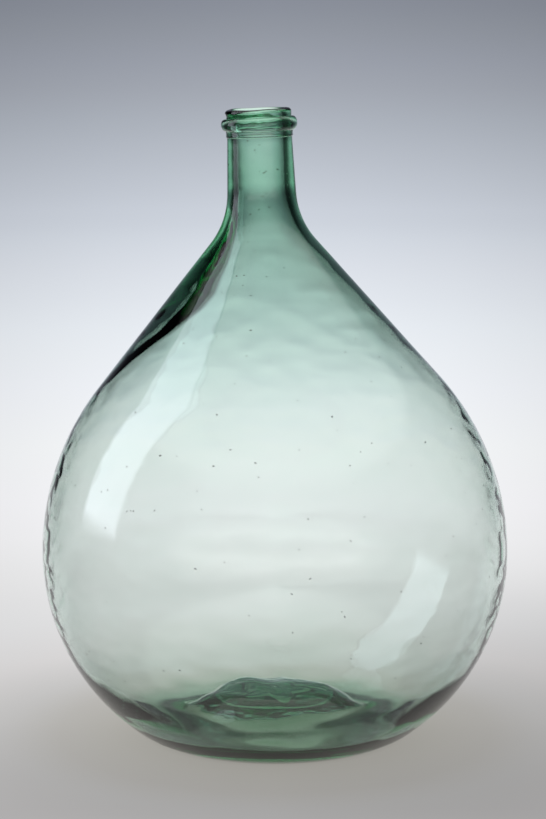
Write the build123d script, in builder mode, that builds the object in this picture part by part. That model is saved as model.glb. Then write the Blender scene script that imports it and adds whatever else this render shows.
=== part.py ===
"""Glass carboy: a free-blown 20 litre demijohn with an applied ring round its neck.

Millimetres, +Z up. The origin is the centre of the standing ring, on the table.
The shoulder and the neck lean a little to -X, as on a bottle worked by hand. The
belly is a true ball at its widest, so the leaning half and the upright half meet
on a great circle of that ball, with no step and no edge.
"""
from build123d import *
import os
from math import atan2, cos, degrees, radians, sin, sqrt, tan

# ---------------------------------------------------------------- outside of the bottle
belly_radius = 170.0        # at the widest
belly_height = 135.5        # of the widest place above the table
side_overrun = 24.5         # how far the side's arc would run on below the table
heel_radius = 36.5          # arc from the side to the table
shoulder_radius = 194.5     # arc of the side, above the belly
shoulder_angle = 40.0       # degrees between the shoulder's cone and the neck's axis
throat_radius = 57.0        # hollow arc between the shoulder and the neck
neck_lean = 2.1             # degrees, towards -X
neck_taper = 2.2            # degrees, along the tapering part of the neck
neck_slope = 56.4           # length of that part, from the corner the throat rounds off
neck_radius = 23.5          # of the true cylinder above it, which carries the ring
neck_below_ring = 3.5       # true cylinder left bare under the ring's skirt

# ---------------------------------------------------------------- glass, from the belly both ways
belly_wall = 1.1            # at the widest place
side_closing = 3.0          # how much tighter each inside arc is than the outside one,
shoulder_closing = 4.5      # so that the wall grows away from the belly
cone_closing = 1.5          # degrees more slope on the inside cone than on the outside one
throat_filling = 9.0        # how much slacker these two inside arcs are,
heel_filling = 3.5          # so that glass fills the throat and the heel
bore_radius = 17.0          # inside the neck, where a cork sits
lip_rounding = 2.4          # fire-polished edges of the lip
lip_rounding_share = 0.45   # the most of the neck's wall that one of them may take

# ---------------------------------------------------------------- base
standing_ring = 7.8         # width of the flat ring that stands on the table
kick_slope = 24.0           # width of the push-up's slope, from its rim to its top
kick_height = 15.0          # its top above the table
kick_rim_rounding = 9.0
push_rounding = 25.0        # soft edge round the top of the push-up, on both faces
floor_wall = 8.5            # glass under the lowest place of the hollow
crown_wall = 12.5           # glass over the top of the push-up
dome_foot_inset = 7.0       # the push-up's foot inside the bottle, in from its rim below
dome_top_inset = 6.0        # its top inside the bottle, in from its top below
dome_foot_rounding = 12.0

# ---------------------------------------------------------------- applied ring
ring_drop = 6.5             # from the lip down to the ring
ring_height = 9.5
ring_bulge = 4.0            # out from the neck
skirt_height = 4.5          # thin trail of glass under the ring
skirt_wall = 0.7

# ---------------------------------------------------------------- planes and axes
ball_band = 2 * neck_lean   # degrees of true ball each side of the widest place
lean = radians(neck_lean)
belly_centre = (0, 0, belly_height)
upright_plane = Plane(origin=belly_centre, x_dir=(1, 0, 0), z_dir=(0, -1, 0))
neck_plane = Plane(origin=belly_centre, x_dir=(cos(lean), 0, sin(lean)), z_dir=(0, -1, 0))
neck_axis = Axis(belly_centre, (-sin(lean), 0, cos(lean)))
belly_plane = Plane.XY.offset(belly_height)


def on_circle(centre, radius, angle):
    """The point of a circle at an angle in degrees from straight outwards."""
    return (centre[0] + radius * cos(radians(angle)), centre[1] + radius * sin(radians(angle)))


def find_shoulder_centre(ball, shoulder):
    """Centre of the shoulder's arc, which leaves the ball at the end of its band."""
    return on_circle((0, 0), ball - shoulder, ball_band)


def find_corner_height(ball, shoulder, cone_angle, corner_radius):
    """Height on the cone of the shoulder at which its radius is corner_radius."""
    cone_foot = on_circle(find_shoulder_centre(ball, shoulder), shoulder, cone_angle)
    return cone_foot[1] + (cone_foot[0] - corner_radius) / tan(radians(cone_angle))


def find_heel_centre(ball, side, heel, floor):
    """Centre of the heel's arc, which touches the side's arc and the floor."""
    height = floor + heel
    return (ball - side + sqrt((side - heel) ** 2 - height**2), height)


def draw_upper_half(ball, shoulder, cone_angle, throat, corner, neck, neck_foot, top):
    """Outline above the belly, from its ball to the top of the neck, closed on the axis."""
    start = on_circle((0, 0), ball, -ball_band)
    shoulder_centre = find_shoulder_centre(ball, shoulder)
    cone_foot = on_circle(shoulder_centre, shoulder, cone_angle)
    CenterArc((0, 0), ball, -ball_band, 2 * ball_band)
    CenterArc(shoulder_centre, shoulder, ball_band, cone_angle - ball_band)
    FilletPolyline(cone_foot, corner, (neck, neck_foot), radius=throat)
    Polyline((neck, neck_foot), (neck, top), (0, top), (0, start[1]), start)


def draw_lower_half(ball, side, heel, floor, foot, foot_rounding, top, rise):
    """Outline below the belly: side, heel, flat ring and push-up, closed on the axis."""
    heel_centre = find_heel_centre(ball, side, heel, floor)
    heel_turn = degrees(atan2(-heel_centre[1], heel_centre[0] - (ball - side)))
    CenterArc((ball - side, 0), side, 0, -heel_turn)
    CenterArc(heel_centre, heel, -heel_turn, heel_turn - 90)
    FilletPolyline(
        (heel_centre[0], floor),
        (foot, floor),
        (top, floor + rise),
        (0, floor + rise),
        radius=(foot_rounding, push_rounding),
    )
    Polyline((0, floor + rise), (0, 0), (ball, 0))


# ---------------------------------------------------------------- sizes that follow from these
side_radius = belly_height + side_overrun
hollow_ball = belly_radius - belly_wall
hollow_side_radius = side_radius - side_closing
hollow_shoulder_radius = shoulder_radius - shoulder_closing
hollow_shoulder_angle = shoulder_angle + cone_closing

corner_radius = neck_radius + neck_slope * tan(radians(neck_taper))
corner_height = find_corner_height(belly_radius, shoulder_radius, shoulder_angle, corner_radius)
bore_corner_height = find_corner_height(
    hollow_ball, hollow_shoulder_radius, hollow_shoulder_angle, bore_radius
)
neck_foot = corner_height + neck_slope
lip_height = neck_foot + neck_below_ring + skirt_height + ring_height + ring_drop

heel_centre = find_heel_centre(belly_radius, side_radius, heel_radius, -belly_height)
kick_rim_radius = heel_centre[0] - standing_ring
kick_top_radius = kick_rim_radius - kick_slope
dome_height = kick_height + crown_wall - floor_wall

# ---------------------------------------------------------------- the shape blown outside
with BuildPart() as outside:
    with BuildSketch(neck_plane):
        with BuildLine():
            draw_upper_half(
                belly_radius,
                shoulder_radius,
                shoulder_angle,
                throat_radius,
                (corner_radius, corner_height),
                neck_radius,
                neck_foot,
                lip_height,
            )
        make_face()
    revolve(axis=neck_axis)
    split(bisect_by=belly_plane, keep=Keep.TOP)
    with BuildSketch(upright_plane):
        with BuildLine():
            draw_lower_half(
                belly_radius,
                side_radius,
                heel_radius,
                -belly_height,
                kick_rim_radius,
                kick_rim_rounding,
                kick_top_radius,
                kick_height,
            )
        make_face()
    revolve(axis=Axis.Z)

# ---------------------------------------------------------------- the hollow inside
with BuildPart() as hollow:
    with BuildSketch(neck_plane):
        with BuildLine():
            draw_upper_half(
                hollow_ball,
                hollow_shoulder_radius,
                hollow_shoulder_angle,
                throat_radius + throat_filling,
                (bore_radius, bore_corner_height),
                bore_radius,
                neck_foot,
                lip_height + lip_rounding,
            )
        make_face()
    revolve(axis=neck_axis)
    split(bisect_by=belly_plane, keep=Keep.TOP)
    with BuildSketch(upright_plane):
        with BuildLine():
            draw_lower_half(
                hollow_ball,
                hollow_side_radius,
                heel_radius + heel_filling,
                floor_wall - belly_height,
                kick_rim_radius - dome_foot_inset,
                dome_foot_rounding,
                kick_top_radius - dome_top_inset,
                dome_height,
            )
        make_face()
    revolve(axis=Axis.Z)

# ---------------------------------------------------------------- vessel: the bottle itself
with BuildPart() as vessel:
    add(outside.part)
    add(hollow.part, mode=Mode.SUBTRACT)
    lip = vessel.faces().sort_by(neck_axis)[-1]
    fillet(lip.edges(), min(lip_rounding, lip_rounding_share * (neck_radius - bore_radius)))

# ---------------------------------------------------------------- neck_ring: trailed round the neck
with BuildPart() as neck_ring:
    with BuildSketch(neck_plane):
        ring_from = lip_height - ring_drop
        ring_to = ring_from - ring_height
        skirt_to = ring_to - skirt_height
        with BuildLine():
            ThreePointArc(
                (neck_radius, ring_from),
                (neck_radius + ring_bulge, (ring_from + ring_to) / 2),
                (neck_radius + skirt_wall, ring_to),
            )
            Polyline(
                (neck_radius + skirt_wall, ring_to),
                (neck_radius + skirt_wall, skirt_to),
                (neck_radius, skirt_to),
                (neck_radius, ring_from),
            )
        make_face()
    revolve(axis=neck_axis)

vessel.part.label = "vessel"
neck_ring.part.label = "neck_ring"

os.makedirs("parts", exist_ok=True)
export_step(vessel.part, "parts/vessel.step")
export_step(neck_ring.part, "parts/neck_ring.step")
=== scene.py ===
"""Glass carboy: a free-blown green demijohn, built round the packed CAD model of it."""

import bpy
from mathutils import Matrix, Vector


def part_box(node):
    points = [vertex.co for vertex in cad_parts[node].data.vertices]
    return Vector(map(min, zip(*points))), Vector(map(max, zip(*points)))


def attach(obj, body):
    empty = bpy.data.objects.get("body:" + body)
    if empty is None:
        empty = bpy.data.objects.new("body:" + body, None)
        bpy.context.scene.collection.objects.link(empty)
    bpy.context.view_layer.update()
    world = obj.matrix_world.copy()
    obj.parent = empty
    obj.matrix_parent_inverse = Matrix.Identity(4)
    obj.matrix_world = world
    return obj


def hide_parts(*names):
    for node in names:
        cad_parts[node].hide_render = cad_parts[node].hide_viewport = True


bl_info = {
    "name": "Blown Glass Carboy",
    "version": (1, 0, 0),
    "blender": (4, 5, 0),
    "location": "View3D > Sidebar > Carboy",
    "description": "Builds a free-blown green glass carboy with its applied neck ring",
    "category": "Add Mesh",
}

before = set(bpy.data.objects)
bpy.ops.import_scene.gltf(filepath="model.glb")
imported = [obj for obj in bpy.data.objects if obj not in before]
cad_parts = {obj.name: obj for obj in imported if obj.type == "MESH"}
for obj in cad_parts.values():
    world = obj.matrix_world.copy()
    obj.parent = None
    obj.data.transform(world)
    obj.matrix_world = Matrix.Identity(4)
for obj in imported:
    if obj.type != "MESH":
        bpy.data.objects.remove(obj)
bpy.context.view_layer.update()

import math
import random

import bmesh
import bpy
import numpy as np
from mathutils import Vector, noise

MM = 0.001
ROOT_BODY = "root"
VESSEL_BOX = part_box("vessel")


# ---------------------------------------------------------------- what a user may change
class CarboyShape(bpy.types.PropertyGroup):
    """Sizes of the bottle, outside and inside."""

    belly_radius: bpy.props.FloatProperty(
        name="Belly radius",
        description="Outside radius of the ball at the widest place",
        default=(VESSEL_BOX[1].x - VESSEL_BOX[0].x) / 2,
        unit="LENGTH",
    )
    belly_height: bpy.props.FloatProperty(
        name="Belly height",
        description="Height of the widest place above the table",
        default=135.5 * MM,
        unit="LENGTH",
    )
    lip_reach: bpy.props.FloatProperty(
        name="Lip reach",
        description="From the centre of the belly to the lip, along the neck",
        default=321.5 * MM,
        unit="LENGTH",
    )
    neck_lean: bpy.props.FloatProperty(
        name="Neck lean",
        description="Lean of the shoulder and neck to -X",
        default=math.radians(2.1),
        subtype="ANGLE",
    )
    side_radius: bpy.props.FloatProperty(
        name="Side arc", description="Arc below the belly", default=160 * MM, unit="LENGTH"
    )
    heel_radius: bpy.props.FloatProperty(
        name="Heel arc",
        description="Arc from the side to the table",
        default=36.5 * MM,
        unit="LENGTH",
    )
    shoulder_radius: bpy.props.FloatProperty(
        name="Shoulder arc", description="Arc above the belly", default=194.5 * MM, unit="LENGTH"
    )
    shoulder_angle: bpy.props.FloatProperty(
        name="Shoulder angle",
        description="Between the cone of the shoulder and the neck's axis",
        default=math.radians(40),
        subtype="ANGLE",
    )
    throat_radius: bpy.props.FloatProperty(
        name="Throat arc",
        description="Hollow arc between the shoulder and the neck",
        default=57 * MM,
        unit="LENGTH",
    )
    neck_taper: bpy.props.FloatProperty(
        name="Neck taper",
        description="Along the open part of the neck",
        default=math.radians(2.2),
        subtype="ANGLE",
    )
    neck_radius: bpy.props.FloatProperty(
        name="Neck radius",
        description="Outside radius under the lip",
        default=23.5 * MM,
        unit="LENGTH",
    )
    neck_cylinder: bpy.props.FloatProperty(
        name="Neck cylinder",
        description="Length of straight neck under the lip",
        default=24 * MM,
        unit="LENGTH",
    )
    belly_wall: bpy.props.FloatProperty(
        name="Belly wall", description="Glass at the widest place", default=1.1 * MM, unit="LENGTH"
    )
    hollow_side_radius: bpy.props.FloatProperty(
        name="Hollow side arc",
        description="Inside arc below the belly",
        default=157 * MM,
        unit="LENGTH",
    )
    hollow_heel_radius: bpy.props.FloatProperty(
        name="Hollow heel arc",
        description="Inside arc from the side to the floor",
        default=40 * MM,
        unit="LENGTH",
    )
    hollow_shoulder_radius: bpy.props.FloatProperty(
        name="Hollow shoulder arc",
        description="Inside arc above the belly",
        default=190 * MM,
        unit="LENGTH",
    )
    hollow_shoulder_angle: bpy.props.FloatProperty(
        name="Hollow shoulder angle",
        description="Between the inside cone and the neck's axis",
        default=math.radians(41.5),
        subtype="ANGLE",
    )
    hollow_throat_radius: bpy.props.FloatProperty(
        name="Hollow throat arc",
        description="Inside arc between the shoulder and the bore",
        default=66 * MM,
        unit="LENGTH",
    )
    bore_radius: bpy.props.FloatProperty(
        name="Bore radius", description="Inside radius of the neck", default=17 * MM, unit="LENGTH"
    )
    lip_rounding: bpy.props.FloatProperty(
        name="Lip rounding",
        description="Fire-polished edges of the lip",
        default=2.9 * MM,
        unit="LENGTH",
    )
    floor_wall: bpy.props.FloatProperty(
        name="Floor glass",
        description="Glass under the lowest place of the hollow",
        default=8.5 * MM,
        unit="LENGTH",
    )
    kick_rim_radius: bpy.props.FloatProperty(
        name="Push-up rim",
        description="Radius of the push-up's rim, under the base",
        default=76 * MM,
        unit="LENGTH",
    )
    kick_top_radius: bpy.props.FloatProperty(
        name="Push-up top",
        description="Radius of the push-up's top, under the base",
        default=52 * MM,
        unit="LENGTH",
    )
    kick_height: bpy.props.FloatProperty(
        name="Push-up height",
        description="Top of the push-up above the table",
        default=15 * MM,
        unit="LENGTH",
    )
    dome_foot_radius: bpy.props.FloatProperty(
        name="Dome foot",
        description="Radius of the push-up's foot, inside",
        default=69 * MM,
        unit="LENGTH",
    )
    dome_top_radius: bpy.props.FloatProperty(
        name="Dome top",
        description="Radius of the push-up's top, inside",
        default=46 * MM,
        unit="LENGTH",
    )
    dome_height: bpy.props.FloatProperty(
        name="Dome height",
        description="Top of the push-up above the lowest place of the hollow",
        default=19 * MM,
        unit="LENGTH",
    )
    push_rounding: bpy.props.FloatProperty(
        name="Push-up rounding",
        description="Soft edges of the push-up",
        default=34 * MM,
        unit="LENGTH",
    )


class CarboyRing(bpy.types.PropertyGroup):
    """Sizes of the applied ring."""

    drop: bpy.props.FloatProperty(
        name="Drop", description="From the lip to the ring", default=6.5 * MM, unit="LENGTH"
    )
    height: bpy.props.FloatProperty(
        name="Height", description="Height of the ring", default=9.5 * MM, unit="LENGTH"
    )
    bulge: bpy.props.FloatProperty(
        name="Bulge", description="How far the ring stands out", default=4 * MM, unit="LENGTH"
    )
    skirt_height: bpy.props.FloatProperty(
        name="Skirt height",
        description="Thin trail of glass under the ring",
        default=4.5 * MM,
        unit="LENGTH",
    )
    skirt_wall: bpy.props.FloatProperty(
        name="Skirt wall", description="Thickness of that trail", default=0.7 * MM, unit="LENGTH"
    )


class CarboyHandwork(bpy.types.PropertyGroup):
    """What blowing by hand leaves in the glass."""

    outer_ripple: bpy.props.FloatProperty(
        name="Outer ripple",
        description="Height of the ripples outside",
        default=0.14 * MM,
        unit="LENGTH",
        precision=5,
    )
    inner_ripple: bpy.props.FloatProperty(
        name="Inner ripple",
        description="Height of the ripples inside",
        default=0.24 * MM,
        unit="LENGTH",
        precision=5,
    )
    side_extra: bpy.props.FloatProperty(
        name="Heavier sides",
        description="Extra, uneven glass inside the belly towards -X and +X",
        default=0.42 * MM,
        unit="LENGTH",
        precision=5,
    )
    heel_extra: bpy.props.FloatProperty(
        name="Heavier heel",
        description="Extra glass inside the heel, most of it at the front",
        default=2.2 * MM,
        unit="LENGTH",
        precision=5,
    )
    lip_unevenness: bpy.props.FloatProperty(
        name="Lip unevenness",
        description="How far the sheared lip rises and falls",
        default=0.5 * MM,
        unit="LENGTH",
        precision=5,
    )
    lip_flare: bpy.props.FloatProperty(
        name="Lip flare",
        description="How far the lip opens out towards -X",
        default=1.0 * MM,
        unit="LENGTH",
        precision=5,
    )
    ring_unevenness: bpy.props.FloatProperty(
        name="Ring unevenness",
        description="How far the laid-on ring wanders",
        default=0.8 * MM,
        unit="LENGTH",
        precision=5,
    )
    crown: bpy.props.FloatProperty(
        name="Push-up crown",
        description="How far the middle of the push-up rises over its edge",
        default=3.5 * MM,
        unit="LENGTH",
        precision=5,
    )
    wrinkles: bpy.props.FloatProperty(
        name="Chill wrinkles",
        description="Height of the wrinkles where the push-up met the cold tool",
        default=0.7 * MM,
        unit="LENGTH",
        precision=5,
    )
    mark_height: bpy.props.FloatProperty(
        name="Mark height",
        description="Height of the plain ring and loops under the push-up",
        default=1.1 * MM,
        unit="LENGTH",
        precision=5,
    )
    seed_count: bpy.props.IntProperty(
        name="Seeds", description="Small gas bubbles left in the glass", default=230
    )
    seed_radius: bpy.props.FloatProperty(
        name="Seed radius",
        description="Largest bubble radius",
        default=0.55 * MM,
        unit="LENGTH",
        precision=5,
    )


class CarboyGlass(bpy.types.PropertyGroup):
    """The glass that the bottle and its ring are made of."""

    tint: bpy.props.StringProperty(
        name="Tint", description="Colour left of white light, as sRGB hex", default="#95E1BF"
    )
    depth: bpy.props.FloatProperty(
        name="Depth", description="Absorption density, per metre", default=100
    )
    ior: bpy.props.FloatProperty(
        name="IOR", description="How strongly soda-lime glass bends light", default=1.52
    )


class CarboyStage(bpy.types.PropertyGroup):
    """The floor, the sweep and the lights."""

    floor_radius: bpy.props.FloatProperty(
        name="Floor radius", description="Flat part of the sweep", default=4.4, unit="LENGTH"
    )
    sweep_radius: bpy.props.FloatProperty(
        name="Sweep radius", description="Curve of the sweep", default=1.5, unit="LENGTH"
    )
    softbox_light: bpy.props.FloatProperty(
        name="Softbox light", description="Brightness of the tall softbox at the left", default=2.1
    )
    camera_distance: bpy.props.FloatProperty(
        name="Camera distance", description="From the bottle's axis", default=1.843, unit="LENGTH"
    )
    camera_height: bpy.props.FloatProperty(
        name="Camera height", description="Above the table", default=0.5285, unit="LENGTH"
    )
    camera_pitch: bpy.props.FloatProperty(
        name="Camera pitch",
        description="How far it looks down",
        default=math.radians(8.93),
        subtype="ANGLE",
    )
    lens: bpy.props.FloatProperty(
        name="Lens", description="Focal length", default=112.86, subtype="DISTANCE_CAMERA"
    )


# ---------------------------------------------------------------- outlines
BASE_STEP = 1.2 * MM  # between the places of an outline: base, heel and side,
BODY_STEP = 3 * MM  # the ball's band,
NECK_STEP = 2 * MM  # shoulder, throat and neck,
LIP_STEP = 0.5 * MM  # and the rounded lip
BALL_BAND_LEANS = 2  # how far the true ball reaches above the widest place, in neck leans


def arc(centre, radius, start, end, step):
    """Points along an arc, both ends included, at most a step apart."""
    count = max(2, math.ceil(abs(end - start) * radius / step))
    angles = [start + (end - start) * i / count for i in range(count + 1)]
    return [(centre[0] + radius * math.cos(a), centre[1] + radius * math.sin(a)) for a in angles]


def straight(start, end, step):
    """Points along a straight run, both ends included."""
    count = max(1, math.ceil(math.dist(start, end) / step))
    return [
        (start[0] + (end[0] - start[0]) * i / count, start[1] + (end[1] - start[1]) * i / count)
        for i in range(count + 1)
    ]


def rounded(corners, radii, step):
    """Points along straight runs whose inner corners are rounded."""
    points = []
    here = corners[0]
    for i, radius in enumerate(radii, 1):
        before, corner, after = (Vector(c) for c in (corners[i - 1], corners[i], corners[i + 1]))
        into, out = (corner - before).normalized(), (after - corner).normalized()
        turn = into.angle_signed(out)
        reach = radius * math.tan(abs(turn) / 2)
        start, end = corner - into * reach, corner + out * reach
        side = -1 if turn > 0 else 1
        normal = Vector((-into.y, into.x)) * side
        centre = start + normal * radius
        first = math.atan2(start.y - centre.y, start.x - centre.x)
        points += straight(here, tuple(start), step)[:-1]
        points += arc(tuple(centre), radius, first, first - turn, step)[:-1]
        here = tuple(end)
    return points + straight(here, corners[-1], step)


def upper_outline(ball, shoulder, cone, throat, neck, taper, foot, top, band, step):
    """From the end of the ball's band up to the top of the neck."""
    centre = ((ball - shoulder) * math.cos(band), (ball - shoulder) * math.sin(band))
    side = arc(centre, shoulder, band, cone, step)
    start = side[-1]
    slope, taper_slope = math.tan(cone), math.tan(taper)
    rise = start[0] + start[1] * slope - neck - foot * taper_slope
    height = rise / (slope - taper_slope)
    corner = (neck + (foot - height) * taper_slope, height)
    neck_line = rounded([start, corner, (neck, foot)], [throat], step)
    return side[:-1] + neck_line[:-1] + straight((neck, foot), (neck, top), step)


def lower_outline(ball, side, heel, floor, foot, top, rise, roundings, step):
    """From the centre of the push-up out to the heel and up to the widest place."""
    heel_depth = -floor - heel
    heel_reach = math.sqrt((side - heel) ** 2 - heel_depth**2)
    turn = math.atan2(heel_depth, heel_reach)
    heel_centre = (ball - side + heel_reach, -heel_depth)
    push_up = rounded(
        [(0, floor + rise), (top, floor + rise), (foot, floor), (heel_centre[0], floor)],
        roundings,
        step,
    )
    curve = arc(heel_centre, heel, -math.pi / 2, -turn, step)[1:]
    return push_up + curve + arc((ball - side, 0), side, -turn, 0, step)[1:]


def smooth_step(low, high, value):
    """0 below low, 1 above high, smooth between."""
    t = np.clip((value - low) / (high - low), 0, 1)
    return t * t * (3 - 2 * t)


def bottle_outline(shape):
    """The outline of the glass as turned round its axis, from the push-up under the base up the
    outside, over the lip and down the inside.

    Gives each place's radius and height from the belly's centre, 1 where it is on the inside,
    and the share of the neck's lean that it takes.
    """
    band = BALL_BAND_LEANS * shape.neck_lean
    foot = shape.lip_reach - shape.neck_cylinder
    lip = shape.lip_reach - shape.lip_rounding
    push_roundings = (shape.push_rounding, shape.push_rounding / 2)
    outside = lower_outline(
        shape.belly_radius,
        shape.side_radius,
        shape.heel_radius,
        -shape.belly_height,
        shape.kick_rim_radius,
        shape.kick_top_radius,
        shape.kick_height,
        push_roundings,
        BASE_STEP,
    )
    outside += arc((0, 0), shape.belly_radius, 0, band, BODY_STEP)[1:]
    outside += upper_outline(
        shape.belly_radius,
        shape.shoulder_radius,
        shape.shoulder_angle,
        shape.throat_radius,
        shape.neck_radius,
        shape.neck_taper,
        foot,
        lip,
        band,
        NECK_STEP,
    )[1:]
    outer_lip = (shape.neck_radius - shape.lip_rounding, lip)
    inner_lip = (shape.bore_radius + shape.lip_rounding, lip)
    outside += arc(outer_lip, shape.lip_rounding, 0, math.pi / 2, LIP_STEP)[1:]
    lip_from, lip_to = (outer_lip[0], shape.lip_reach), (inner_lip[0], shape.lip_reach)
    inside = straight(lip_from, lip_to, LIP_STEP)[1:]
    inside += arc(inner_lip, shape.lip_rounding, math.pi / 2, math.pi, LIP_STEP)[1:]
    hollow_ball = shape.belly_radius - shape.belly_wall
    hollow = lower_outline(
        hollow_ball,
        shape.hollow_side_radius,
        shape.hollow_heel_radius,
        shape.floor_wall - shape.belly_height,
        shape.dome_foot_radius,
        shape.dome_top_radius,
        shape.dome_height,
        push_roundings,
        BASE_STEP,
    )
    hollow += arc((0, 0), hollow_ball, 0, band, BODY_STEP)[1:]
    hollow += upper_outline(
        hollow_ball,
        shape.hollow_shoulder_radius,
        shape.hollow_shoulder_angle,
        shape.hollow_throat_radius,
        shape.bore_radius,
        0,
        foot,
        lip,
        band,
        NECK_STEP,
    )[1:-1]
    inside += hollow[::-1]
    points = np.array(outside + inside)
    is_inside = np.r_[np.zeros(len(outside)), np.ones(len(inside))]
    band_height = shape.belly_radius * math.sin(band)
    leans = smooth_step(-band_height, band_height, points[:, 1])
    return points, is_inside, leans


def outline_normals(points):
    """Unit normals of an outline that runs up the outside and down the inside.

    They point out of the glass: away from the axis outside, and towards it in the hollow.
    """
    ahead = np.vstack([points[1:], points[-1:]])
    behind = np.vstack([points[:1], points[:-1]])
    along = ahead - behind
    along /= np.linalg.norm(along, axis=1)[:, None]
    return np.column_stack([along[:, 1], -along[:, 0]])


def swing(r, h, angle, leans, shape):
    """Places turned round the axis and leant about the belly's centre, in the model's frame."""
    lean = shape.neck_lean * leans
    x, y = r * np.cos(angle), r * np.sin(angle)
    return np.stack(
        [
            x * np.cos(lean) - h * np.sin(lean),
            y,
            x * np.sin(lean) + h * np.cos(lean) + shape.belly_height,
        ],
        axis=-1,
    )


# ---------------------------------------------------------------- what handwork leaves
# Waves in the glass: their lengths in mm along X, Y and Z, and where their noise starts.
# Those of the push-up are drawn on a flat disc, so their third length doesn't count.
LONG_OUTSIDE = ((64, 64, 34), 3.7)
SHORT_OUTSIDE = ((21, 21, 11), 11.3)
LONG_INSIDE = ((56, 56, 30), 21.9)
SHORT_INSIDE = ((19, 19, 10), 37.1)
CORDS = ((14, 14, 8), 51.7)
FINE_CORDS = ((6, 6, 4), 63.2)
CRUMPLES = ((9, 9, 1000), 5.1)
FINE_CRUMPLES = ((4, 4, 1000), 8.6)
CREASES = ((16, 5, 1000), 15.4)
RING_FOLDS = ((5, 5, 2.5), 2.2)

# Waves that close round the neck: how many, their share of the height, how far turned.
SHEARED_LIP = ((1, 0.45, -0.4), (2, 0.35, 1.1), (5, 0.2, 0))
RING_TALLER = ((1, 0.08, 0.3), (3, 0.03, 2.0))
RING_WANDERS = ((1, 0.25, 0.6), (2, 0.2, 2.4))


def ripple(places, wave):
    """Smooth noise, about -1 to 1, with the lengths and the start of one kind of wave."""
    lengths, start = wave
    flat = places.reshape(-1, 3) / (np.array(lengths) * MM) + start
    values = [noise.noise(Vector(p)) for p in flat]
    return np.array(values).reshape(places.shape[:-1])


def round_the_neck(angle, waves):
    """The sum of some waves round the neck."""
    return sum(share * np.cos(count * angle + turned) for count, share, turned in waves)


def bump(distance, width):
    """A smooth ridge, 1 in the middle and 0 beyond its width."""
    return 1 - smooth_step(0, width, abs(distance))


def near_table(places):
    """1 at the heel, where the soft glass settled on the table, and 0 from 34 mm up."""
    heel_height, fades_over = 12 * MM, 22 * MM
    return bump(places[..., 2] - heel_height, fades_over)


def outer_sag(places, hand):
    """How far the outside of the glass stands off its true outline: inwards, never outwards."""
    rougher_heel = 1.6
    waves = 0.6 * ripple(places, LONG_OUTSIDE) + 0.4 * ripple(places, SHORT_OUTSIDE)
    strength = hand.outer_ripple * (1 + rougher_heel * near_table(places))
    return -strength * (1 - waves)


def inner_swell(places, hand):
    """How far the inside of the glass stands off its true outline, into the hollow."""
    rougher_heel = 1.5
    x, y, z = places[..., 0], places[..., 1], places[..., 2]
    long_waves = ripple(places, LONG_INSIDE)
    waves = 0.55 * long_waves + 0.45 * ripple(places, SHORT_INSIDE)
    strength = hand.inner_ripple * (1 + rougher_heel * near_table(places))

    # the sides: thicker, with uneven cords that run through them
    cords = ripple(places, CORDS) + 0.5 * ripple(places, FINE_CORDS)
    belly = bump(z - 150 * MM, 150 * MM)
    beside = smooth_step(0.9, 0.98, abs(x) / np.hypot(x, y))
    side = hand.side_extra * beside * belly * (0.6 + cords)

    # the heel: glass that ran down and gathered, four fifths less of it at the back
    in_heel = bump(z - 24 * MM, 36 * MM)
    fuller_front = 1 - 0.8 * smooth_step(-60 * MM, 60 * MM, y)
    heel = hand.heel_extra * in_heel * (1 + 0.25 * long_waves) * fuller_front
    return strength * waves + side + heel


HEAVY_SIDE = [  # mm over the belly's centre, mm of extra glass, degrees that it reaches to the front
    (100, 0, 8),
    (126, 0.15, 12),
    (146, 0.5, 20),
    (160, 1.1, 30),
    (172, 1.9, 40),
    (185, 3, 51),
    (195, 3.9, 56),
    (214, 4.6, 55),
    (232, 2.6, 48),
    (250, 0, 44),
]


def heavy_side(h, angle):
    """Extra glass inside the shoulder towards -X, where the gather ran thick."""
    heights, extra, reach = (np.array(column) for column in zip(*HEAVY_SIDE))
    extra = np.interp(h, heights * MM, extra * MM)
    reach = np.radians(np.interp(h, heights * MM, reach))
    to_front = angle % (2 * math.pi) - math.pi  # radians from -X, less than 0 towards the back
    back_edge = smooth_step(-0.7, -0.25, to_front)
    edge_width = np.interp(h, (165 * MM, 205 * MM), (0.16, 0.5))  # sharp low down, soft above
    front_edge = 1 - smooth_step(reach - edge_width, reach + 0.03, to_front)
    return extra * back_edge * front_edge


# ---------------------------------------------------------------- push-up
MARK_RING = 40 * MM  # radius of the plain ring pressed into the push-up
MARK_LOOPS = 22 * MM  # radius of the looped ring inside it,
LOOP_SWING = 4 * MM  # how far that one swings in and out,
LOOP_COUNT = 5  # and how often
MARK_WIDTH = 2.4 * MM  # half of each line's
PUSH_UP_ROOM = (8 * MM, 40 * MM)  # all of it is within this of its foot, and this of the table


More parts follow.
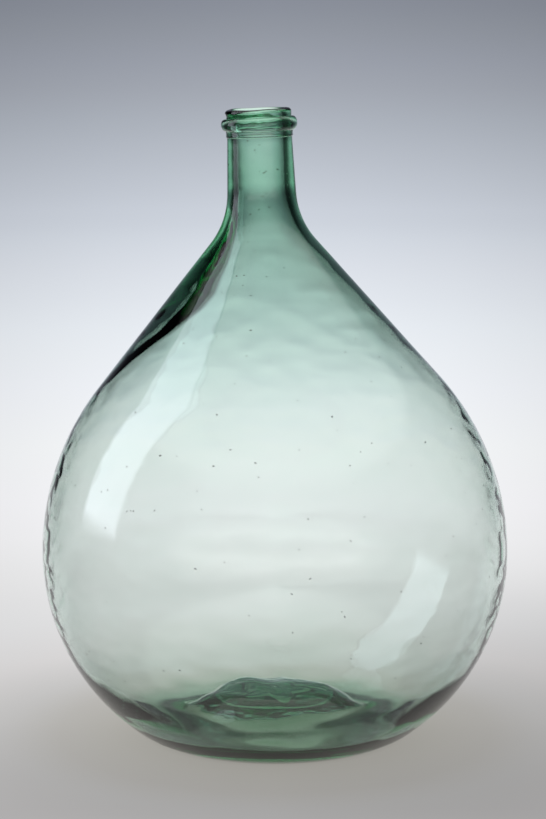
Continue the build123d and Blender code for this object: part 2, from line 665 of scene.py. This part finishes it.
def push_up_shape(r, h, angle, under, shape, hand):
    """How far the push-up rises: its crown, its chill wrinkles, and the plain mark under it."""
    edge = np.where(under, shape.kick_top_radius, shape.dome_top_radius)
    crown = hand.crown * np.clip(1 - (r / edge) ** 2, 0, None)

    x, y = r * np.cos(angle), r * np.sin(angle)
    places = np.stack([x, y, np.zeros_like(x)], axis=-1)
    crumples = ripple(places, CRUMPLES) + 0.6 * ripple(places, FINE_CRUMPLES)
    near_edge = bump(r - 0.8 * edge, 26 * MM)
    softer_inside = np.where(under, 1, 0.6)
    wrinkles = hand.wrinkles * near_edge * (crumples + ripple(places, CREASES)) * 0.5 * softer_inside

    loops = MARK_LOOPS + LOOP_SWING * np.cos(LOOP_COUNT * angle)
    mark = bump(r - MARK_RING, MARK_WIDTH) + bump(r - loops, MARK_WIDTH)
    pressed = hand.mark_height * mark * under

    below = h < PUSH_UP_ROOM[1] - shape.belly_height
    on_it = below & (r < shape.dome_foot_radius + PUSH_UP_ROOM[0])
    return np.where(on_it, crown + wrinkles - pressed, 0)


# ---------------------------------------------------------------- meshes
def all_round(segments):
    """The angles of so many segments all the way round, as one row."""
    return np.linspace(0, 2 * math.pi, segments, endpoint=False)[None, :]


def lathe_faces(rings, segments):
    """Faces between stacked rings of vertices, all the way round."""
    around = np.arange(segments)
    beside = (around + 1) % segments
    faces = []
    for ring in range(rings - 1):
        low, high = ring * segments, (ring + 1) * segments
        faces += np.column_stack([low + around, low + beside, high + beside, high + around]).tolist()
    return faces


def blown_glass(shape, hand):
    """The bottle's closed skin, outside and inside, with all that handwork leaves in it."""
    segments = 288
    points, is_inside, leans = bottle_outline(shape)
    normals = outline_normals(points)
    points, normals, is_inside, leans = (a[1:-1] for a in (points, normals, is_inside, leans))
    inside, leans = is_inside[:, None] > 0, leans[:, None]
    angle = all_round(segments)
    r, h = points[:, :1], points[:, 1:]

    true_places = swing(r, h, angle, leans, shape)
    standing = smooth_step(0, 6 * MM, true_places[..., 2])  # 0 where it stands on the table
    swell = inner_swell(true_places, hand) + heavy_side(h, angle)
    moved = np.where(inside, swell, outer_sag(true_places, hand) * standing)
    rise = push_up_shape(r, h, angle, ~inside, shape, hand)
    r, h = r + normals[:, :1] * moved, h + normals[:, 1:] * moved + rise

    near_lip = smooth_step(shape.lip_reach - 9 * MM, shape.lip_reach - 2 * MM, h)
    h = h - near_lip * hand.lip_unevenness * (1 - round_the_neck(angle, SHEARED_LIP))
    at_lip = smooth_step(shape.lip_reach - 6 * MM, shape.lip_reach - 2.5 * MM, h)
    towards_left = 0.5 - 0.5 * np.cos(angle)
    r = r + at_lip * hand.lip_flare * towards_left

    faces = lathe_faces(len(points), segments)
    places = swing(r, h, angle, leans, shape).reshape(-1, 3)
    kick_height = shape.kick_height - shape.belly_height + hand.crown
    dome_height = shape.floor_wall + shape.dome_height - shape.belly_height + hand.crown
    kick_centre = swing(0.0, kick_height, 0.0, 0.0, shape)
    dome_centre = swing(0.0, dome_height, 0.0, 0.0, shape)
    kick, dome = len(places), len(places) + 1
    last = (len(points) - 1) * segments
    for i in range(segments):
        j = (i + 1) % segments
        faces.append((kick, j, i))
        faces.append((dome, last + i, last + j))
    return np.vstack([places, kick_centre, dome_centre]), faces


def seeds(shape, hand):
    """Gas bubbles in the glass: closed shells whose faces look into the bubble.

    Blowing has spread each of them flat in the wall and drawn it out a little. They are
    larger than most seed in such glass, so that they show.
    """
    above_table, below_lip = 9 * MM, 7 * MM  # none nearer than this
    more_above = 0.9  # 1 would spread them evenly over the height
    across_wall = (0.46, 0.54)  # where in the wall, as a share of it
    sizes = (0.45, 1)  # as a share of the largest radius
    most_of_wall = 0.27  # that half a bubble takes up
    slants = (-0.5, 0.5)  # how far the long way of a bubble leans from level
    drawn_out = (1, 2.2)  # how long it is for its height
    ball = bmesh.new()
    bmesh.ops.create_icosphere(ball, subdivisions=2, radius=1)
    shell = np.array([v.co[:] for v in ball.verts])
    shell_faces = np.array([[v.index for v in f.verts] for f in ball.faces])[:, ::-1]
    ball.free()
    points, is_inside, leans = bottle_outline(shape)
    split = int(np.argmax(is_inside))
    outside, inside = points[:split], points[split:]
    lowest, highest = above_table - shape.belly_height, shape.lip_reach - below_lip
    rng = random.Random(20)
    places, faces = [], []
    for _ in range(hand.seed_count):
        height = lowest + (highest - lowest) * rng.random() ** more_above
        at = np.argmin(abs(outside[:, 1] - height) - outside[:, 0] * 1e-3)
        near = np.argmin(np.linalg.norm(inside - outside[at], axis=1))
        across = inside[near] - outside[at]
        middle = outside[at] + across * rng.uniform(*across_wall)
        turn = rng.uniform(0, 2 * math.pi)
        radius = hand.seed_radius * rng.uniform(*sizes)
        half_thickness = min(radius, most_of_wall * np.linalg.norm(across))
        centre = swing(middle[0], middle[1], turn, leans[at], shape)
        through = Vector((across[0] * math.cos(turn), across[0] * math.sin(turn), across[1]))
        through.normalize()
        along = through.cross((0, 0, 1)).normalized()
        along = (along + through.cross(along) * rng.uniform(*slants)).normalized()
        half_length = radius * rng.uniform(*drawn_out)
        upwards = through.cross(along)
        turned = np.array([through * half_thickness, along * half_length, upwards * radius])
        faces += (shell_faces + len(places) * len(shell)).tolist()
        places.append(shell @ turned + centre)
    return np.vstack(places), faces


def ring_outline(shape, ring):
    """The ring's closed outline from its top, with how free each place is to wander, 0 to 1.

    The skirt and the back of the ring are stuck to the neck.
    """
    half_round_steps = 32
    fullness = 0.8  # 1 would be a true ellipse, and less is squarer
    inner = shape.neck_radius
    skirt_face = inner + ring.skirt_wall
    top = shape.lip_reach - ring.drop
    bottom = top - ring.height
    middle = top - ring.height / 2
    skirt = bottom - ring.skirt_height
    outline = []
    for i in range(half_round_steps + 1):
        a = math.pi / 2 - math.pi * i / half_round_steps
        out = ring.bulge * max(math.cos(a), 0) ** fullness
        outline.append((inner + out, middle + ring.height / 2 * math.sin(a), 1))
    outline = [p for p in outline if p[0] >= inner + 0.3 * MM or p[1] > middle]
    outline += [(skirt_face, bottom - 0.3 * MM, 0.3)]
    outline += [(skirt_face, q, 0) for q in np.linspace(bottom - 1 * MM, skirt + 0.5 * MM, 5)]
    outline += [(inner + ring.skirt_wall * 0.6, skirt, 0), (inner, skirt, 0)]
    outline += [(inner, q, 0) for q in np.linspace(skirt, top, 14)[1:-1]]
    return np.array(outline), middle


def trailed_glass(shape, ring, hand):
    """The ring's closed skin, with the lap where its trail ends over its own start."""
    segments = 216
    gap = 0.03 * MM  # to the neck, so that the two skins never cross
    least = 0.02 * MM  # glass over the gap
    lap_from_front = 0.12  # radians, to the right
    outline, middle = ring_outline(shape, ring)
    inner = shape.neck_radius
    angle = all_round(segments)
    r, h, free = outline[:, :1], outline[:, 1:2], outline[:, 2:]
    neck_places = swing(np.full_like(r, inner), h, angle, 1.0, shape)
    neck_face = outer_sag(neck_places, hand) + gap

    from_lap = (angle + math.pi / 2 - lap_from_front + math.pi) % (2 * math.pi) - math.pi
    lap = bump(from_lap, 0.35)
    folds = ripple(neck_places, RING_FOLDS) * bump(from_lap, 0.8)
    h = middle + (h - middle) * (1 + free * round_the_neck(angle, RING_TALLER))
    h = h + free * hand.ring_unevenness * round_the_neck(angle, RING_WANDERS)

    proud = np.clip((r - inner) / ring.bulge, 0, 1)
    thinner = 0.15 * (1 - np.cos(2 * angle + 0.7)) + 0.35 * lap * np.sin(from_lap * 9) ** 2
    r = r + neck_face - free * proud * hand.ring_unevenness * (thinner - 0.35 * folds)
    r = np.maximum(r, inner + neck_face + least * (free > 0))

    places = swing(r, h, angle, 1.0, shape).reshape(-1, 3)
    faces = lathe_faces(len(outline), segments)
    last = (len(outline) - 1) * segments
    for i in range(segments):
        j = (i + 1) % segments
        faces.append((last + i, last + j, j, i))
    return places, [tuple(reversed(f)) for f in faces]


def new_piece(name, places, faces, material):
    """A smooth mesh in the scene, in one material."""
    mesh = bpy.data.meshes.new(name)
    mesh.from_pydata([tuple(p) for p in places], [], faces)
    mesh.validate()
    mesh.shade_smooth()
    mesh.materials.append(material)
    piece = bpy.data.objects.new(name, mesh)
    bpy.context.scene.collection.objects.link(piece)
    return piece


# ---------------------------------------------------------------- materials
def linear(hex_colour):
    """An sRGB hex colour as linear red, green, blue and alpha."""
    channels = [int(hex_colour.lstrip("#")[i : i + 2], 16) / 255 for i in (0, 2, 4)]
    return (*[c / 12.92 if c <= 0.04045 else ((c + 0.055) / 1.055) ** 2.4 for c in channels], 1)


def add_node(tree, kind, settings=None, links=None):
    """Adds a node, sets its properties and inputs, and links sockets to its inputs."""
    node = tree.nodes.new(kind)
    for name, value in (settings or {}).items():
        if isinstance(name, int) or name in node.inputs:
            node.inputs[name].default_value = value
        else:
            setattr(node, name, value)
    for name, socket in (links or {}).items():
        tree.links.new(socket, node.inputs[name])
    return node


def new_material(name):
    """An empty node material and its tree."""
    material = bpy.data.materials.new(name)
    material.use_nodes = True
    material.node_tree.nodes.clear()
    return material, material.node_tree


def soda_lime_glass(surface_name, glass):
    """Soda-lime glass, blown or trailed hot and then fire-polished, green from iron in the sand.

    The eye sees hardly any colour in the thin belly and a deep green in the neck, ring and
    base, because the tint comes from the depth of the glass and not from its surface.
    """
    material, tree = new_material("soda_lime_glass_" + surface_name)
    surface = add_node(
        tree,
        "ShaderNodeBsdfPrincipled",
        {
            "Base Color": (1, 1, 1, 1),
            "Roughness": 0.0,
            "IOR": glass.ior,
            "Transmission Weight": 1.0,
        },
    )
    depth = add_node(
        tree,
        "ShaderNodeVolumeAbsorption",
        {"Color": linear(glass.tint), "Density": glass.depth},
    )
    add_node(
        tree,
        "ShaderNodeOutputMaterial",
        links={"Surface": surface.outputs["BSDF"], "Volume": depth.outputs["Volume"]},
    )
    return material


# ---------------------------------------------------------------- pieces
class CARBOY_OT_bottle(bpy.types.Operator):
    """Blows the bottle: base, belly, shoulder, neck and lip in one piece of glass"""

    bl_idname = "carboy.bottle"
    bl_label = "Bottle"

    def execute(self, context):
        scene = context.scene
        shape, hand = scene.carboy_shape, scene.carboy_handwork
        places, faces = blown_glass(shape, hand)
        bubbles, bubble_faces = seeds(shape, hand)
        faces += (np.array(bubble_faces) + len(places)).tolist()
        glass = soda_lime_glass("blown", scene.carboy_glass)
        piece = new_piece("bottle", np.vstack([places, bubbles]), faces, glass)
        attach(piece, ROOT_BODY)
        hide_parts("vessel")
        return {"FINISHED"}


class CARBOY_OT_neck_ring(bpy.types.Operator):
    """Trails the applied ring round the neck, with its thin skirt"""

    bl_idname = "carboy.neck_ring"
    bl_label = "Neck ring"

    def execute(self, context):
        scene = context.scene
        places, faces = trailed_glass(
            scene.carboy_shape, scene.carboy_ring, scene.carboy_handwork
        )
        glass = soda_lime_glass("trailed", scene.carboy_glass)
        piece = new_piece("applied_ring", places, faces, glass)
        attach(piece, ROOT_BODY)
        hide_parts("neck_ring")
        return {"FINISHED"}


# ---------------------------------------------------------------- stage
# Painted light and shade on the paper: a green pool of light painted under the bottle out to 0.056 m, a
# painted contact shadow round its heel from 0.08 to 0.0865 m, then painted shade that lightens outwards
# to the paper's whitest glow at 0.9 m, greying again up the sweep.
PAPER_PAINTED_LIGHT = [  # metres out along the floor and up the sweep, sRGB hex
    (0.00, "#5E7A62"), (0.028, "#6E846D"), (0.056, "#838F7E"), (0.080, "#383A37"), (0.0865, "#4A4A47"),
    (0.0895, "#A4A29B"), (0.0936, "#B8B6AF"), (0.12, "#C0BEB8"), (0.16, "#C8C6C2"), (0.20, "#D4D3D2"),
    (0.27, "#E2E0E0"), (0.38, "#E9E9EA"), (0.47, "#EDEDEE"), (0.56, "#F2F2F3"), (0.72, "#F9F9FB"),
    (0.90, "#FCFCFF"), (1.25, "#FBFDFF"), (1.74, "#F5F8FD"), (2.04, "#F1F5FA"), (2.41, "#ECF1F7"),
    (2.85, "#E5EAF1"), (3.39, "#DEE3EB"), (4.06, "#D5DBE4"), (4.68, "#CCD2DC"), (4.97, "#C2C8D2"),
    (5.21, "#B8BEC8"), (5.41, "#AEB4BE"), (5.60, "#A4A9B3"), (5.78, "#9BA0AB"), (5.95, "#9297A1"),
    (6.09, "#8A8F9A"), (7.20, "#686D78"),
]
SIDES = [  # degrees round from straight behind the bottle, right positive; share of light
    (-180, 1.0), (-82, 0.3), (-62, 0.06), (-28, 0.04), (-21, 0.12), (-15.3, 0.45), (-10, 0.78),
    (-6, 0.87), (-3, 0.96), (0, 1.0), (3, 0.96), (6, 0.87), (10, 0.78), (15.3, 0.6), (19, 0.45),
    (24, 0.25), (31.6, 0.08), (52, 0.06), (65, 0.12), (82, 0.3), (180, 1.0),
]
NEAR = [  # metres behind the bottle; share of light on the floor by it
    (-1.5, 0.50), (-0.4, 0.54), (-0.2, 0.62), (-0.13, 0.70), (-0.06, 0.79), (0.02, 0.88),
    (0.2, 0.97), (0.42, 0.98), (0.7, 1.0), (1.5, 1.0),
]
FRONT = [  # metres above the floor; light on the camera's side and overhead
    (0.0, 0.5), (0.3, 0.8), (0.5, 1.15), (0.65, 1.2), (0.85, 0.75), (1.2, 0.3), (1.8, 0.15),
    (3.6, 0.14), (4.6, 0.45), (5.4, 0.8), (6.6, 0.85),
]
FLOOR_RINGS = (0.05, 0.2, 0.5, 1, 2, 3, 4)  # metres from the bottle's axis
WALL_TOP = [(1, 3.0), (1, 4.8), (0.7, 6.2)]  # share of the wall's radius, metres up
CEILING_MIDDLE = (0.5, 6.6)  # metres from the axis, metres up
SOFTBOX_CORNERS = [(-2.0, -0.36, 0.15), (-2.0, 0.62, 0.15), (-2.0, 1.2, 3.6), (-2.0, -0.36, 3.6)]
LENS_SHIFT = -2 / 819  # share of the longer side, to the left


def seamless_paper(stage):
    """Matt seamless paper on a sweep that glows by itself: its light from behind and overhead and its
    dark at both sides are painted into that glow.

    The eye reads the glass by it: bright through the middle, black along the edges. The light that the
    bottle gathers and the shadow that it stands in are painted on the paper too: a green pool of light
    under the bottle and a dark ring of shade round its heel.
    """
    material, tree = new_material("seamless_paper_painted_light")
    place = add_node(tree, "ShaderNodeNewGeometry").outputs["Position"]
    parts = add_node(tree, "ShaderNodeSeparateXYZ", links={"Vector": place}).outputs
    flat = add_node(
        tree, "ShaderNodeVectorMath", {"operation": "MULTIPLY", 1: (1, 1, 0)}, {0: place}
    )
    away = add_node(
        tree, "ShaderNodeVectorMath", {"operation": "LENGTH"}, {0: flat.outputs["Vector"]}
    ).outputs["Value"]
    reach = add_node(tree, "ShaderNodeMath", {"operation": "ADD"}, {0: away, 1: parts["Z"]})
    depth = add_node(
        tree, "ShaderNodeMath", {"operation": "ADD", 1: stage.camera_distance}, {0: parts["Y"]}
    )
    turn = add_node(
        tree, "ShaderNodeMath", {"operation": "ARCTAN2"}, {0: parts["X"], 1: depth.outputs["Value"]}
    )
    degrees = add_node(
        tree, "ShaderNodeMath", {"operation": "DEGREES"}, {0: turn.outputs["Value"]}
    )
    # A ramp is drawn as 256 even steps. The square root of the place crowds them where the
    # tables start, so that the paper close to the bottle keeps its fine tones.
    ramps = {}
    for name, value, stops in (
        ("paper", reach.outputs["Value"], PAPER_PAINTED_LIGHT),
        ("sides", degrees.outputs["Value"], SIDES),
        ("near", parts["Y"], NEAR),
        ("front", parts["Z"], FRONT),
    ):
        low, high = stops[0][0], stops[-1][0]
        share = add_node(
            tree, "ShaderNodeMapRange", {"From Min": low, "From Max": high}, {"Value": value}
        )
        fine = add_node(tree, "ShaderNodeMath", {"operation": "SQRT"}, {0: share.outputs["Result"]})
        ramp = add_node(tree, "ShaderNodeValToRGB", links={"Fac": fine.outputs["Value"]})
        elements = ramp.color_ramp.elements
        while len(elements) < len(stops):
            elements.new(0.5)
        for element, (stop, light) in zip(elements, stops):
            element.position = math.sqrt((stop - low) / (high - low))
            element.color = linear(light) if isinstance(light, str) else (light, light, light, 1)
        ramps[name] = ramp.outputs["Color"]

    # Near the bottle the floor is a little lighter at the left, and the light behind counts.
    # The Mix nodes' sockets 4 and 5 are the two vectors, and output 1 is their mix.
    tilt = add_node(
        tree,
        "ShaderNodeMapRange",
        {"From Min": -0.25, "From Max": 0.25, "To Min": 1.05, "To Max": 0.83},
        {"Value": parts["X"]},
    )
    beside = add_node(
        tree,
        "ShaderNodeVectorMath",
        {"operation": "SCALE"},
        {0: ramps["near"], "Scale": tilt.outputs["Result"]},
    )
    far = add_node(
        tree,
        "ShaderNodeMapRange",
        {"interpolation_type": "SMOOTHSTEP", "From Min": 0.2, "From Max": 0.65},
        {"Value": away},
    )
    level = add_node(
        tree,
        "ShaderNodeMix",
        {"data_type": "VECTOR", 5: (1, 1, 1)},
        {"Factor": far.outputs["Result"], 4: beside.outputs["Vector"]},
    )
    share = add_node(
        tree,
        "ShaderNodeVectorMath",
        {"operation": "MULTIPLY"},
        {0: ramps["sides"], 1: level.outputs[1]},
    )
    behind = add_node(
        tree,
        "ShaderNodeVectorMath",
        {"operation": "MULTIPLY"},
        {0: ramps["paper"], 1: share.outputs["Vector"]},
    )

    # Overhead, and far off on the camera's side, the light goes by its height alone.
    overhead = add_node(
        tree,
        "ShaderNodeMapRange",
        {"interpolation_type": "SMOOTHSTEP", "From Min": 4.0, "From Max": 5.0},
        {"Value": parts["Z"]},
    )
    around = add_node(
        tree, "ShaderNodeMath", {"operation": "ABSOLUTE"}, {0: degrees.outputs["Value"]}
    )
    before = add_node(
        tree,
        "ShaderNodeMapRange",
        {"interpolation_type": "SMOOTHSTEP", "From Min": 95, "From Max": 130},
        {"Value": around.outputs["Value"]},
    )
    before_far = add_node(
        tree,
        "ShaderNodeMath",
        {"operation": "MULTIPLY"},
        {0: before.outputs["Result"], 1: far.outputs["Result"]},
    )
    lit = add_node(
        tree,
        "ShaderNodeMath",
        {"operation": "MAXIMUM"},
        {0: before_far.outputs["Value"], 1: overhead.outputs["Result"]},
    )
    glow = add_node(
        tree,
        "ShaderNodeMix",
        {"data_type": "VECTOR"},
        {"Factor": lit.outputs["Value"], 4: behind.outputs["Vector"], 5: ramps["front"]},
    )
    # All of the paper's light and shade, with the painted shadow round the bottle and the painted pool
    # of light under it, is given off here as emission.
    light = add_node(tree, "ShaderNodeEmission", links={"Color": glow.outputs[1]})
    add_node(tree, "ShaderNodeOutputMaterial", links={"Surface": light.outputs["Emission"]})
    return material


def diffusion_cloth(radiance):
    """White diffusion cloth over a softbox, woven: even light that fades into its edges.

    The eye sees it as the long soft highlights down the left shoulder and low on the right.
    """
    faded_edge = 0.08  # share of the softbox's width and height
    material, tree = new_material("diffusion_cloth_woven")
    place = add_node(tree, "ShaderNodeTexCoord").outputs["UV"]
    parts = add_node(tree, "ShaderNodeSeparateXYZ", links={"Vector": place}).outputs
    edges = []
    for side in ("X", "Y"):
        back = add_node(tree, "ShaderNodeMath", {"operation": "SUBTRACT", 0: 1.0}, {1: parts[side]})
        edge = add_node(
            tree, "ShaderNodeMath", {"operation": "MINIMUM"}, {0: parts[side], 1: back.outputs["Value"]}
        )
        edges.append(edge.outputs["Value"])
    edge = add_node(tree, "ShaderNodeMath", {"operation": "MINIMUM"}, {0: edges[0], 1: edges[1]})
    strength = add_node(
        tree,
        "ShaderNodeMapRange",
        {"interpolation_type": "SMOOTHSTEP", "From Max": faded_edge, "To Max": radiance},
        {"Value": edge.outputs["Value"]},
    )
    light = add_node(
        tree,
        "ShaderNodeEmission",
        {"Color": linear("#EDF2FF")},
        {"Strength": strength.outputs["Result"]},
    )
    add_node(tree, "ShaderNodeOutputMaterial", links={"Surface": light.outputs["Emission"]})
    return material


def sweep_skin(stage):
    """The floor, the curve up from it, the wall and the ceiling, all the way round."""
    segments = 128
    wall = stage.floor_radius + stage.sweep_radius
    curve_centre = (stage.floor_radius, stage.sweep_radius)
    outline = [(r, 0.0) for r in FLOOR_RINGS]
    outline += arc(curve_centre, stage.sweep_radius, -math.pi / 2, 0, 0.1)
    outline += [(wall * share, height) for share, height in WALL_TOP] + [CEILING_MIDDLE]
    data = np.array(outline)
    angle = all_round(segments)
    x, y = data[:, :1] * np.cos(angle), data[:, :1] * np.sin(angle)
    places = np.stack([x, y, np.broadcast_to(data[:, 1:], x.shape)], axis=-1).reshape(-1, 3)
    faces = [tuple(reversed(f)) for f in lathe_faces(len(outline), segments)]
    faces.append(tuple(range(segments)))
    last = (len(outline) - 1) * segments
    faces.append(tuple(reversed(range(last, last + segments))))
    return places, faces


class CARBOY_OT_stage(bpy.types.Operator):
    """Sets up the pale floor, the sweep round it, the softbox and the camera"""

    bl_idname = "carboy.stage"
    bl_label = "Stage"

    def execute(self, context):
        scene = context.scene
        stage = scene.carboy_stage
        sweep = new_piece("sweep", *sweep_skin(stage), seamless_paper(stage))
        cloth = diffusion_cloth(stage.softbox_light)
        softbox = new_piece("tall_softbox", SOFTBOX_CORNERS, [(0, 1, 2, 3)], cloth)
        corner_uvs = softbox.data.uv_layers.new(name="cloth").data
        for corner, uv in zip(corner_uvs, ((0, 0), (1, 0), (1, 1), (0, 1))):
            corner.uv = uv
        softbox.visible_camera = False

        camera_data = bpy.data.cameras.new("camera")
        camera_data.sensor_width = 36
        camera_data.lens = stage.lens
        camera_data.shift_x = LENS_SHIFT
        camera_data.clip_end = 100
        camera = bpy.data.objects.new("camera", camera_data)
        camera.location = (0, -stage.camera_distance, stage.camera_height)
        camera.rotation_euler = (math.pi / 2 - stage.camera_pitch, 0, 0)
        scene.collection.objects.link(camera)
        scene.camera = camera

        # light crosses many skins of glass on its way through the base
        scene.cycles.max_bounces = 24
        scene.cycles.transmission_bounces = 24
        scene.cycles.glossy_bounces = 8
        scene.view_settings.view_transform = "Standard"
        return {"FINISHED"}


class CARBOY_PT_panel(bpy.types.Panel):
    """Lists the carboy's operators, and the sizes and colours that they go by"""

    bl_label = "Carboy"
    bl_idname = "CARBOY_PT_panel"
    bl_space_type = "VIEW_3D"
    bl_region_type = "UI"
    bl_category = "Carboy"

    def draw(self, context):
        for operator in OPERATORS:
            self.layout.operator(operator.bl_idname)
        for name, group in GROUPS.items():
            box = self.layout.box()
            box.label(text=group.__doc__)
            for setting in group.__annotations__:
                box.prop(getattr(context.scene, name), setting)


GROUPS = {
    "carboy_shape": CarboyShape,
    "carboy_ring": CarboyRing,
    "carboy_handwork": CarboyHandwork,
    "carboy_glass": CarboyGlass,
    "carboy_stage": CarboyStage,
}
OPERATORS = (CARBOY_OT_bottle, CARBOY_OT_neck_ring, CARBOY_OT_stage)


def register():
    """Makes the settings, operators and panel known."""
    for name, group in GROUPS.items():
        bpy.utils.register_class(group)
        setattr(bpy.types.Scene, name, bpy.props.PointerProperty(type=group))
    for cls in (*OPERATORS, CARBOY_PT_panel):
        bpy.utils.register_class(cls)


def unregister():
    """Takes them all away again."""
    for cls in (CARBOY_PT_panel, *reversed(OPERATORS)):
        bpy.utils.unregister_class(cls)
    for name, group in reversed(GROUPS.items()):
        delattr(bpy.types.Scene, name)
        bpy.utils.unregister_class(group)


def main():
    """Builds the whole carboy and its stage."""
    register()
    bpy.ops.carboy.bottle()
    bpy.ops.carboy.neck_ring()
    bpy.ops.carboy.stage()


if __name__ == "__main__":
    main()
